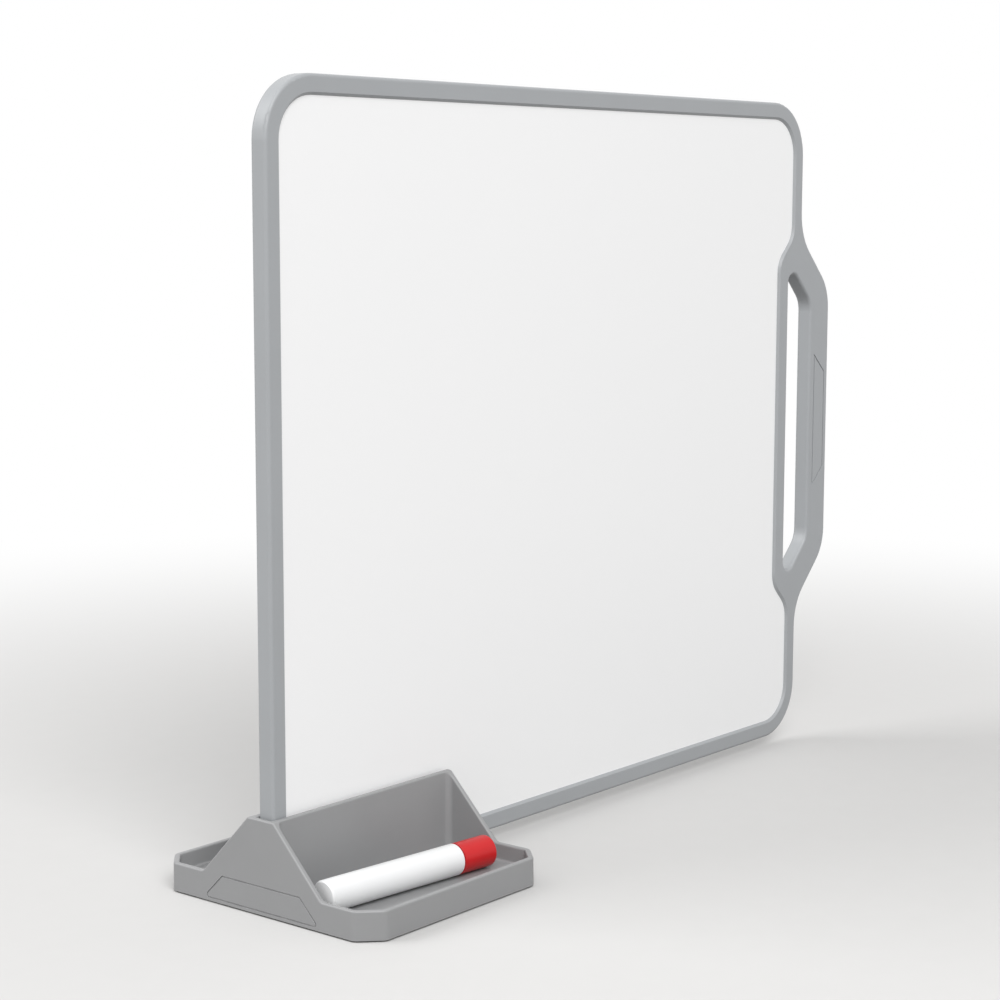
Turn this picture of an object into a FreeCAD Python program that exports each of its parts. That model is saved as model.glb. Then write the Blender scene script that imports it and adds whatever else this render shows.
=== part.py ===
import FreeCAD, Part
import math
import os
import re
import Sketcher

# Desk whiteboard that stands on edge in a small base with a marker tray on each side.
# Frame: +X along the board towards its handle, +Y to the rear, +Z up, millimetres.
# The origin lies on the desk, below the middle of the whole object.

doc = FreeCAD.newDocument("desk_whiteboard")
sheet = doc.addObject("Spreadsheet::Sheet", "Sizes")

sizes = {
    # Board and its frame
    "board_length": 482.6,  # board without the handle, left to right
    "board_height": 406.4,  # board, bottom to top
    "board_depth": 10.2,  # frame, front to back
    "frame_width": 10.4,  # frame member seen from the front, bevel included
    "frame_corner": 32.5,  # outer corner radius of the frame
    "edge_round": 1.8,  # rounding of the frame's long edges
    "lip_depth": 1.5,  # how far the frame stands proud of each sheet
    "lip_bevel": 1.4,  # bevel from the lip down to the sheet
    "lip_overlap": 4.6,  # how far the sheets reach under the lip
    "sheet_thickness": 0.3,  # enamelled steel sheet
    "panel_play": 0.1,  # play round the sheets and the core
    "rear_rim": 2.8,  # width of the front frame's wall seen from behind
    "rear_play": 0.1,  # play round the rear frame
    "pin_radius": 0.8,  # press pins of the rear frame
    "pin_length": 4.0,  # press pins below the rear frame's plate
    "pin_play": 0.05,  # radial play of a press pin
    "pin_edge": 4.0,  # press pin from the frame's outer edge
    "pin_corner": 24.8,  # outermost press pins from the frame's corner rounds
    "pin_shoulder": 28.4,  # outermost press pins of the bar from its ends

    # Handle loop on the right side
    "handle_reach": 34.7,  # how far the handle stands out past the frame
    "handle_slope": 45.0,  # slope of the handle's shoulders, degrees from upright
    "bar_width": 22.5,  # upright handle bar
    "bar_half": 85.4,  # half height of the bar's straight outer side
    "finger_gap": 27.2,  # finger opening, left to right
    "arm_width": 21.8,  # slanted arms that carry the bar
    "post_width": 11.6,  # frame member between the opening and the sheet
    "notch_step": 0.6,  # notch corner in the sheet below the opening's corner
    "root_round": 34.0,  # round where the shoulder leaves the frame
    "shoulder_round": 30.0,  # round where the shoulder meets the bar
    "notch_round": 17.0,  # rounds of the notch in the sheet
    "gap_post_round": 6.0,  # opening corners at the post
    "gap_bar_round": 14.0,  # opening corners at the bar
    "bar_wall": 4.6,  # wall round the hollow of the bar
    "bar_skin": 2.6,  # front skin of the hollow bar
    "field_long": 86.6,  # bare field on the bar, its long side
    "field_short": 62.6,  # bare field on the bar, its short side
    "field_width": 13.1,  # bare field on the bar, left to right
    "field_inset": 5.0,  # bare field from the bar's opening side
    "bar_groove_width": 0.9,  # width of the outline groove on the bar
    "groove_width": 0.7,  # width of the outline groove on the base
    "groove_depth": 0.5,  # depth of an outline groove

    # Base shell
    "tray_spare": 17.1,  # tray beyond the marker, left to right
    "base_width": 148.4,  # base at the desk, front to back
    "base_height": 48.3,  # base without its feet
    "base_chamfer": 11.3,  # cut corners in plan
    "base_corner": 5.0,  # round on the edges of the cut corners
    "base_draft": 0.5,  # lean of the outer walls, degrees
    "rim_height": 14.7,  # low tray rim above the shell's lower edge
    "slope_foot": 41.2,  # half width of the sloping end wall at the rim
    "slot_wall": 3.3,  # wall between the slot and a tray
    "crest_round": 2.0,  # round where the slope meets the top
    "slope_foot_round": 4.0,  # round where the slope meets the rim
    "tray_wall": 3.2,  # tray wall at the lower edge
    "tray_floor": 5.7,  # tray floor above the shell's lower edge
    "floor_thickness": 1.8,  # tray floor
    "cove_round": 3.4,  # tray corners beside the slot
    "tray_round": 3.0,  # tray corners at the cut corners
    "floor_round": 1.2,  # round between tray wall and floor
    "rim_round": 0.9,  # round on the upper edges
    "slot_play": 0.5,  # slot play on each face of the board
    "board_setback": 4.7,  # board's left edge from the base's left end
    "board_rise": 6.6,  # board's lower edge above the desk
    "end_field_top": 54.4,  # bare field on the end, upper side
    "end_field_foot": 81.4,  # bare field on the end, lower side
    "end_field_low": 1.5,  # bare field on the end, lower side above the shell's edge
    "end_field_high": 14.7,  # bare field on the end, upper side above the shell's edge
    "end_field_round": 1.6,  # lower corners of the bare end field

    # Slot liners and the strip that the board stands on
    "liner_margin": 20.0,  # liner strip from the base's ends
    "liner_height": 18.0,  # liner strip, bottom to top
    "liner_low": 19.7,  # liner strip's lower edge above the shell's edge
    "liner_thickness": 1.0,  # liner strip
    "liner_proud": 0.2,  # liner strip standing out of its recess
    "liner_play": 0.1,  # play round a liner in its recess
    "pad_margin": 9.0,  # rest strip from the ends of the tray
    "pad_thickness": 1.2,  # rest strip
    "pad_width": 7.6,  # rest strip, front to back
    "pad_air": 0.1,  # air between the rest strip and the board

    # Closed underside
    "cover_rim": 3.0,  # shell wall seen round the cover
    "cover_thickness": 1.6,  # bottom cover
    "cover_play": 0.15,  # play round the cover
    "ballast_margin": 10.0,  # ballast from the shell's lower edge
    "ballast_inner": 13.0,  # ballast from the middle plane
    "ballast_air": 0.2,  # air above the ballast
    "ballast_play": 0.3,  # play round the ballast
    "ballast_chamfer": 4.0,  # cut outer corners of the ballast
    "screw_edge": 6.5,  # screws from the shell's lower edge
    "screw_corner": 11.6,  # end screws from the cut corners
    "screw_radius": 1.2,  # screw shank
    "screw_play": 0.05,  # radial play of a screw in its hole
    "screw_length": 4.6,  # screw from the cover's face
    "screw_head_radius": 2.2,  # countersunk head
    "screw_recess_radius": 0.9,  # drive recess in the head
    "screw_recess_depth": 0.6,  # drive recess in the head
    "foot_radius": 6.0,  # rubber foot
    "foot_thickness": 1.7,  # rubber foot
    "foot_proud": 0.9,  # rubber foot below the shell's lower edge
    "foot_round": 0.3,  # round on the rubber foot's lower edge
    "foot_play": 0.1,  # radial play of a foot in its recess
    "foot_edge_x": 18.0,  # foot from the base's end
    "foot_edge_y": 16.0,  # foot from the base's front and rear

    # Marker
    "marker_length": 112.5,  # capped marker
    "marker_radius": 8.25,  # marker barrel
    "barrel_wall": 1.35,  # marker barrel
    "barrel_round": 0.5,  # round on the barrel's mouth
    "plug_bevel": 1.0,  # bevelled end of the plug
    "plug_step": 0.85,  # flat end of the plug inside the barrel's outline
    "plug_depth": 8.0,  # plug inside the barrel
    "marker_fit": 0.05,  # radial fit of the parts in the barrel
    "cap_length": 22.6,  # cap
    "cap_step": 0.05,  # cap inside the barrel's outline
    "cap_wall": 1.0,  # cap
    "cap_round": 0.8,  # rounded end of the cap
    "cap_gap": 0.7,  # gap between the cap and the barrel
    "collar_length": 8.0,  # collar that the cap pushes on
    "collar_depth": 12.0,  # collar inside the barrel
    "cap_fit": 0.06,  # radial fit of the cap on its collar
    "snout_radius": 4.2,  # snout that holds the nib
    "snout_length": 3.4,  # snout past the collar
    "nib_radius": 2.5,  # felt nib
    "nib_length": 3.2,  # felt nib past the snout
    "nib_depth": 10.0,  # felt nib inside the collar
    "nib_tip": 1.1,  # flat at the nib's end, radius
    "nib_taper": 1.8,  # length of the nib's tapered end
    "reservoir_play": 0.6,  # ink reservoir in the barrel
    "reservoir_gap": 0.3,  # reservoir from the plug and from the collar
    "seal_wall": 0.8,  # cap seal
    "seal_play": 0.15,  # cap seal round the snout
    "seal_lap": 1.6,  # cap seal over the snout
    "marker_turn": 5.3,  # marker turned from the board's line, degrees
    "marker_air": 0.6,  # marker above the tray floor
    "marker_shift_x": -4.5,  # marker's middle from the tray's middle, left to right
    "marker_shift_y": -1.2,  # marker's middle from the tray's middle, front to back
    "overrun": 2.0,  # length by which cutting shapes run past the material
}
for row, (alias, number) in enumerate(sizes.items(), 1):
    sheet.set("A%d" % row, alias)
    sheet.set("B%d" % row, str(number))
    sheet.setAlias("B%d" % row, alias)
doc.recompute()

# Lengths that follow from the sizes above
derived = {
    "pin_pitch_long": "((board_length / 2 - frame_corner - pin_corner) / 2)",
    "pin_pitch_tall": "((board_height / 2 - frame_corner - pin_corner) / 1.5)",
    "pin_pitch_bar": "(bar_half - pin_shoulder)",
    "gap_half": "(bar_half + bar_width / tan(handle_slope * 1deg) - arm_width / sin(handle_slope * 1deg))",
    "notch_half": "(bar_half + (bar_width + finger_gap) / tan(handle_slope * 1deg)"
                  " - arm_width / sin(handle_slope * 1deg) - notch_step)",
    "base_length": "(marker_length + tray_spare + 2 * tray_wall)",
    "crest_half": "(board_depth / 2 + slot_play + slot_wall)",
    "slot_floor": "(board_rise - foot_proud - pad_air - pad_thickness)",
    "liner_length": "(marker_length + tray_spare + 2 * tray_wall - 2 * liner_margin)",
    "pad_length": "(marker_length + tray_spare - 2 * pad_margin)",
    "ballast_thickness": "(tray_floor - floor_thickness - cover_thickness - ballast_air)",
    "screw_spread": "(base_width / 2 - base_chamfer - screw_corner)",
    "barrel_bore": "(marker_radius - barrel_wall)",
    "plug_face": "(marker_radius - plug_step)",
    "cap_radius": "(marker_radius - cap_step)",
    "reservoir_radius": "(marker_radius - barrel_wall - reservoir_play)",
}
words = re.compile(r"[a-z_]+")


def linked(text):
    """Write derived lengths out and put the sheet's name before every size in an expression."""
    text = words.sub(lambda m: derived.get(m.group(0), m.group(0)), text)
    return words.sub(lambda m: "Sizes." + m.group(0) if m.group(0) in sizes else m.group(0), text)


def value(alias):
    return float(sheet.get(alias))


def new_body(label, x="0", y="0", z="0"):
    body = doc.addObject("PartDesign::Body", label)
    body.Label = label
    body.setExpression("Placement.Base.x", linked(x))
    body.setExpression("Placement.Base.y", linked(y))
    body.setExpression("Placement.Base.z", linked(z))
    return body


def new_sketch(body, name, role, offset="0"):
    """A sketch on one of the body's own origin planes, moved along the plane's normal."""
    sketch = body.newObject("Sketcher::SketchObject", name)
    plane = [item for item in body.Origin.OriginFeatures if item.Role == role][0]
    sketch.AttachmentSupport = [(plane, "")]
    sketch.MapMode = "FlatFace"
    sketch.setExpression("AttachmentOffset.Base.z", linked(offset))
    return sketch


def bind(sketch, constraints, texts):
    """Add constraints together, then tie those that have a text to the sheet."""
    first = sketch.ConstraintCount
    sketch.addConstraint(constraints)
    for number, text in enumerate(texts):
        if text:
            sketch.setExpression("Constraints[%d]" % (first + number), linked(text))


def corner_points(sketch, points):
    """Construction points that follow the sheet: the sharp corners of an outline."""
    first = sketch.GeometryCount
    count = len(points)
    sketch.addGeometry([Part.Point(FreeCAD.Vector(1 + number, 1, 0)) for number in range(count)], True)
    constraints = []
    texts = []
    for number, (x, y) in enumerate(points):
        constraints.append(Sketcher.Constraint("DistanceX", -1, 1, first + number, 1, 1.0 + number))
        constraints.append(Sketcher.Constraint("DistanceY", -1, 1, first + number, 1, 1.0))
        texts += [x, y]
    bind(sketch, constraints, texts)
    doc.recompute()
    places = [sketch.Geometry[first + number] for number in range(count)]
    return first, [FreeCAD.Vector(place.X, place.Y, 0) for place in places]


first_trim_share = 0.125


def outline(sketch, points, rounds=()):
    """Closed outline through sharp corners; rounds gives groups of corners and their radius."""
    first, corners = corner_points(sketch, points)
    count = len(points)
    radii = {number: radius for group, radius in rounds for number in group}
    ways = [(corners[(k + 1) % count] - corners[k]).normalize() for k in range(count)]
    lengths = [(corners[(k + 1) % count] - corners[k]).Length for k in range(count)]
    trims = [min(lengths[k - 1], lengths[k]) * first_trim_share if k in radii else 0 for k in range(count)]
    side = sketch.GeometryCount
    constraints = []
    texts = []
    for k in range(count):
        after = (k + 1) % count
        start = corners[k] + ways[k] * trims[k]
        sketch.addGeometry(Part.LineSegment(start, corners[after] - ways[k] * trims[after]), False)
    for k in range(count):
        before = side + (k - 1) % count
        if k in radii:
            arc, enter, leave, radius = corner_arc(sketch, corners[k], ways[k - 1], ways[k], trims[k])
            constraints += [Sketcher.Constraint("Tangent", before, 2, arc, enter),
                            Sketcher.Constraint("Tangent", arc, leave, side + k, 1),
                            Sketcher.Constraint("PointOnObject", first + k, 1, before),
                            Sketcher.Constraint("PointOnObject", first + k, 1, side + k),
                            Sketcher.Constraint("Radius", arc, radius)]
            texts += ["", "", "", "", radii[k]]
        else:
            constraints += [Sketcher.Constraint("Coincident", before, 2, first + k, 1),
                            Sketcher.Constraint("Coincident", side + k, 1, first + k, 1)]
            texts += ["", ""]
    bind(sketch, constraints, texts)


def corner_arc(sketch, corner, way_in, way_out, trim):
    """First guess of a rounded corner; returns the arc, its end reached first, its other end and radius."""
    turn = way_in.getAngle(way_out)
    left = way_in.cross(way_out).z > 0
    radius = trim / math.tan(turn / 2)
    aside = FreeCAD.Vector(-way_in.y, way_in.x, 0) * (radius if left else -radius)
    centre = corner - way_in * trim + aside
    start = corner - way_in * trim if left else corner + way_out * trim
    angle = math.atan2(start.y - centre.y, start.x - centre.x)
    ring = Part.Circle(centre, FreeCAD.Vector(0, 0, 1), radius)
    arc = sketch.addGeometry(Part.ArcOfCircle(ring, angle, angle + turn), False)
    return (arc, 1, 2, radius) if left else (arc, 2, 1, radius)


def circle(sketch, x, y, radius):
    item = sketch.addGeometry(Part.Circle(FreeCAD.Vector(1, 1, 0), FreeCAD.Vector(0, 0, 1), 1.0), False)
    constraints = [Sketcher.Constraint("DistanceX", -1, 1, item, 3, 1.0),
                   Sketcher.Constraint("DistanceY", -1, 1, item, 3, 1.0),
                   Sketcher.Constraint("Radius", item, 1.0)]
    bind(sketch, constraints, [x, y, radius])


def pad(body, sketch, length, both_ways=False, reverse=False):
    feature = body.newObject("PartDesign::Pad", sketch.Name + "_pad")
    feature.Profile = sketch
    feature.setExpression("Length", linked(length))
    feature.Midplane = both_ways
    feature.Reversed = reverse
    return finish(body, feature)


def pocket(body, sketch, length, both_ways=False, reverse=False):
    before = body.Shape.Volume
    feature = body.newObject("PartDesign::Pocket", sketch.Name + "_pocket")
    feature.Profile = sketch
    feature.setExpression("Length", linked(length))
    feature.Midplane = both_ways
    feature.Reversed = reverse
    finish(body, feature)
    if not feature.Shape.Volume < before:
        raise ValueError(sketch.Name + " removes nothing from " + body.Label)
    return feature


def revolve(body, sketch):
    feature = body.newObject("PartDesign::Revolution", sketch.Name + "_turned")
    feature.Profile = sketch
    feature.ReferenceAxis = (sketch, ["H_Axis"])
    feature.Angle = 360.0
    return finish(body, feature)


def finish(body, feature):
    body.Tip = feature
    doc.recompute()
    if "Invalid" in feature.State:
        raise RuntimeError("%s in %s: %s" % (feature.Name, body.Label, feature.getStatusString()))
    return feature


def edges_where(shape, test):
    """Names of the edges whose ends and middle all pass a test."""
    names = []
    for number, edge in enumerate(shape.Edges, 1):
        middle = edge.valueAt((edge.FirstParameter + edge.LastParameter) / 2)
        points = [vertex.Point for vertex in edge.Vertexes] + [middle]
        if all(test(point) for point in points):
            names.append("Edge%d" % number)
    return names


def fillet(body, names, radius):
    base = body.Tip
    feature = body.newObject("PartDesign::Fillet", "round")
    feature.Base = (base, names)
    feature.setExpression("Radius", linked(radius))
    return finish(body, feature)


def chamfer(body, names, width):
    base = body.Tip
    feature = body.newObject("PartDesign::Chamfer", "bevel")
    feature.Base = (base, names)
    feature.setExpression("Size", linked(width))
    return finish(body, feature)


# Outlines of the board, all measured from its middle
half_slope = "tan(handle_slope * 1deg / 2)"
full_slope = "tan(handle_slope * 1deg)"


def stepped(half_x, half_z, step_x, high_z, low_z):
    """Outline with a step on its right side: high_z is at half_x, low_z is at step_x."""
    return [("-(%s)" % half_x, "-(%s)" % half_z), (half_x, "-(%s)" % half_z),
            (half_x, "-(%s)" % high_z), (step_x, "-(%s)" % low_z),
            (step_x, low_z), (half_x, high_z),
            (half_x, half_z), ("-(%s)" % half_x, half_z)]


def frame_outline(inset):
    """Outer outline of the frame with its handle, moved inwards by inset."""
    return stepped("board_length / 2 - (%s)" % inset, "board_height / 2 - (%s)" % inset,
                   "board_length / 2 + handle_reach - (%s)" % inset,
                   "bar_half + handle_reach / %s - (%s) * %s" % (full_slope, inset, half_slope),
                   "bar_half - (%s) * %s" % (inset, half_slope))


notch_x = "(board_length / 2 + handle_reach - bar_width - finger_gap - post_width)"
window_x = "(board_length / 2 - frame_width)"


def window_outline(growth):
    """Outline of the sheet that shows inside the frame, moved outwards by growth."""
    rise = "(%s - %s) / %s" % (window_x, notch_x, full_slope)
    return stepped("%s + %s" % (window_x, growth), "board_height / 2 - frame_width + %s" % growth,
                   "%s + %s" % (notch_x, growth),
                   "notch_half + %s - (%s) * %s" % (rise, growth, half_slope),
                   "notch_half - (%s) * %s" % (growth, half_slope))


def gap_outline(growth):
    """Outline of the finger opening, moved outwards by growth."""
    bar_x = "board_length / 2 + handle_reach - bar_width + %s" % growth
    post_x = "board_length / 2 + handle_reach - bar_width - finger_gap - (%s)" % growth
    bar_z = "gap_half + (%s) * %s" % (growth, half_slope)
    post_z = "gap_half + finger_gap / %s + (%s) / %s" % (full_slope, growth, half_slope)
    return [(post_x, "-(%s)" % post_z), (bar_x, "-(%s)" % bar_z), (bar_x, bar_z), (post_x, post_z)]


def frame_rounds(inset):
    return [((0, 1, 6, 7), "frame_corner - (%s)" % inset), ((2, 5), "root_round + (%s)" % inset),
            ((3, 4), "shoulder_round - (%s)" % inset)]


def window_rounds(growth):
    return [((0, 1, 6, 7), "frame_corner - frame_width + (%s)" % growth),
            ((2, 5), "notch_round + (%s)" % growth), ((3, 4), "notch_round - (%s)" % growth)]


def gap_rounds(growth):
    return [((0, 3), "gap_post_round + (%s)" % growth), ((1, 2), "gap_bar_round + (%s)" % growth)]


def tapered_sides(long_side, short_side, depth, trim):
    """Half lengths of a trapezoid's two level sides after it is moved inwards by trim."""
    slope = "((%s - %s) / 2 / (%s))" % (long_side, short_side, depth)
    lean = "sqrt(1 + %s ^ 2)" % slope
    return ("(%s) / 2 - (%s) * (%s + %s)" % (long_side, trim, lean, slope),
            "(%s) / 2 - (%s) * (%s - %s)" % (short_side, trim, lean, slope))


board_place = {"x": "board_setback - (board_setback + handle_reach) / 2",
               "z": "board_rise + board_height / 2"}
panel_outline = "lip_overlap - panel_play"


def pin_places():
    """Places of the press pins: top and bottom rows, left column and handle bar."""
    places = []
    for step in (-2, -1, 0, 1, 2):
        for side in ("-", ""):
            places.append(("pin_pitch_long * %d" % step, "%s(board_height / 2 - pin_edge)" % side))
    for step in (-1.5, -0.5, 0.5, 1.5):
        places.append(("-(board_length / 2 - pin_edge)", "pin_pitch_tall * %s" % step))
    for step in (-1, 0, 1):
        places.append(("board_length / 2 + handle_reach - pin_edge", "pin_pitch_bar * %d" % step))
    return places


# Front frame: one moulding with the lip, the deep outer wall and the handle loop
def make_front_frame():
    body = new_body("front_frame", **board_place)
    plan = new_sketch(body, "frame_outline", "XZ_Plane")
    outline(plan, frame_outline("0"), frame_rounds("0"))
    pad(body, plan, "board_depth", both_ways=True)
    gap = new_sketch(body, "finger_opening", "XZ_Plane")
    outline(gap, gap_outline("0"), gap_rounds("0"))
    pocket(body, gap, "board_depth + overrun", both_ways=True)
    window = new_sketch(body, "frame_window", "XZ_Plane")
    outline(window, window_outline("0"), window_rounds("0"))
    pocket(body, window, "board_depth + overrun", both_ways=True)
    rear = "-board_depth / 2"
    face = value("board_depth") / 2
    near = value("panel_play")
    outer = edges_where(body.Tip.Shape, lambda p: abs(abs(p.y) - face) < near and not inside_window(p))
    fillet(body, outer, "edge_round")
    front_loop = edges_where(body.Tip.Shape, lambda p: abs(p.y + face) < near and inside_window(p))
    chamfer(body, front_loop, "lip_bevel")
    panel = new_sketch(body, "panel_seat", "XZ_Plane", rear)
    outline(panel, window_outline("lip_overlap"), window_rounds("lip_overlap"))
    pocket(body, panel, "board_depth - lip_depth", reverse=True)
    seat = new_sketch(body, "rear_seat", "XZ_Plane", rear)
    outline(seat, frame_outline("rear_rim"), frame_rounds("rear_rim"))
    outline(seat, gap_outline("rear_rim"), gap_rounds("rear_rim"))
    pocket(body, seat, "lip_depth", reverse=True)
    hollow = new_sketch(body, "bar_hollow", "XZ_Plane", rear)
    bar_middle = "(board_length / 2 + handle_reach - bar_width / 2)"
    left = "%s - bar_width / 2 + bar_wall" % bar_middle
    right = "%s + bar_width / 2 - bar_wall - pin_edge" % bar_middle
    top = "gap_half - bar_wall"
    outline(hollow, [(left, "-(%s)" % top), (right, "-(%s)" % top), (right, top), (left, top)])
    pocket(body, hollow, "board_depth - bar_skin", reverse=True)
    holes = new_sketch(body, "pin_holes", "XZ_Plane", rear)
    for x, z in pin_places():
        circle(holes, x, z, "pin_radius + pin_play")
    pocket(body, holes, "lip_depth + pin_length + pin_play", reverse=True)
    outer = "board_length / 2 + handle_reach - bar_width + field_inset"
    field = new_sketch(body, "bar_field", "XZ_Plane", "board_depth / 2")
    for trim in ("0", "bar_groove_width"):
        low = "%s + %s" % (outer, trim)
        high = "%s + field_width - (%s)" % (outer, trim)
        tall, short = tapered_sides("field_long", "field_short", "field_width", trim)
        outline(field, [(low, "-(%s)" % tall), (high, "-(%s)" % short), (high, short), (low, tall)])
    pocket(body, field, "groove_depth")


def inside_window(point):
    """True for a point on or inside the window's outline, which steps in beside the handle."""
    margin = value("edge_round")
    widest = value("board_length") / 2 - value("frame_width")
    notch = widest + value("frame_width") + value("handle_reach") - value("bar_width")
    notch = notch - value("finger_gap") - value("post_width")
    slope = math.radians(value("handle_slope"))
    notch_half = value("bar_half") + (value("bar_width") + value("finger_gap")) / math.tan(slope)
    notch_half = notch_half - value("arm_width") / math.sin(slope) - value("notch_step")
    past_notch = max(0, abs(point.z) - notch_half)
    right = min(widest, notch + past_notch * math.tan(slope))
    tallest = value("board_height") / 2 - value("frame_width")
    return abs(point.z) < tallest + margin and -widest - margin < point.x < right + margin


# Rear frame: thin plate set into the back of the front frame, with press pins
def make_rear_frame():
    body = new_body("rear_frame", **board_place)
    inset = "rear_rim + rear_play"
    plate = new_sketch(body, "plate_outline", "XZ_Plane", "-board_depth / 2")
    outline(plate, frame_outline(inset), frame_rounds(inset))
    outline(plate, gap_outline(inset), gap_rounds(inset))
    pad(body, plate, "lip_depth")
    window = new_sketch(body, "plate_window", "XZ_Plane")
    outline(window, window_outline("0"), window_rounds("0"))
    pocket(body, window, "board_depth + overrun", both_ways=True)
    face = value("board_depth") / 2
    near = value("panel_play")
    rear_loop = edges_where(body.Tip.Shape, lambda p: abs(p.y - face) < near and inside_window(p))
    chamfer(body, rear_loop, "lip_bevel")
    pins = new_sketch(body, "pins", "XZ_Plane", "lip_depth - board_depth / 2")
    for x, z in pin_places():
        circle(pins, x, z, "pin_radius")
    pad(body, pins, "pin_length")


# Writing sheets and the core between them
def make_panel_layer(label, depth, thickness):
    body = new_body(label, **board_place)
    plan = new_sketch(body, label + "_outline", "XZ_Plane", depth)
    outline(plan, window_outline(panel_outline), window_rounds(panel_outline))
    pad(body, plan, thickness, reverse=True)


def make_panel():
    make_panel_layer("front_writing_sheet", "board_depth / 2 - lip_depth", "sheet_thickness")
    make_panel_layer("panel_core", "board_depth / 2 - lip_depth - sheet_thickness",
                     "board_depth - 2 * lip_depth - 2 * sheet_thickness")
    make_panel_layer("rear_writing_sheet", "sheet_thickness + lip_depth - board_depth / 2", "sheet_thickness")


# Outlines of the base, measured from the middle of its lower edge
base_place = {"x": "base_length / 2 - (board_setback + board_length + handle_reach) / 2", "z": "foot_proud"}


def cut_corners(inset, chamfer_size):
    """Octagon of the base in plan, moved inwards by inset."""
    x = "base_length / 2 - (%s)" % inset
    y = "base_width / 2 - (%s)" % inset
    cut = "(%s - (%s) * (2 - sqrt(2)))" % (chamfer_size, inset)
    near_x = "%s - %s" % (x, cut)
    near_y = "%s - %s" % (y, cut)
    return [("-(%s)" % near_x, "-(%s)" % y), (near_x, "-(%s)" % y), (x, "-(%s)" % near_y), (x, near_y),
            (near_x, y), ("-(%s)" % near_x, y), ("-(%s)" % x, near_y), ("-(%s)" % x, "-(%s)" % near_y)]


def tray_outline(side):
    """Plan of one tray: side is '-' for the front tray and '' for the rear one."""
    x = "base_length / 2 - tray_wall"
    y = "base_width / 2 - tray_wall"
    cut = "(base_chamfer - tray_wall * (2 - sqrt(2)))"
    return [("-(%s)" % x, "%screst_half" % side), (x, "%screst_half" % side),
            (x, "%s(%s - %s)" % (side, y, cut)), ("%s - %s" % (x, cut), "%s(%s)" % (side, y)),
            ("-(%s - %s)" % (x, cut), "%s(%s)" % (side, y)), ("-(%s)" % x, "%s(%s - %s)" % (side, y, cut))]


def rectangle(sketch, half_x, low_y, high_y):
    left = "-(%s)" % half_x
    outline(sketch, [(left, low_y), (half_x, low_y), (half_x, high_y), (left, high_y)])


slot_half = "(board_depth / 2 + slot_play)"
screw_sink = "(screw_head_radius - screw_radius)"
end_row = "(base_length / 2 - screw_edge)"
side_row = "(base_width / 2 - screw_edge)"
screw_places = [(end_row, "screw_spread"), (end_row, "-screw_spread"), ("0", side_row),
                ("-" + end_row, "screw_spread"), ("-" + end_row, "-screw_spread"), ("0", "-" + side_row)]


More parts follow.
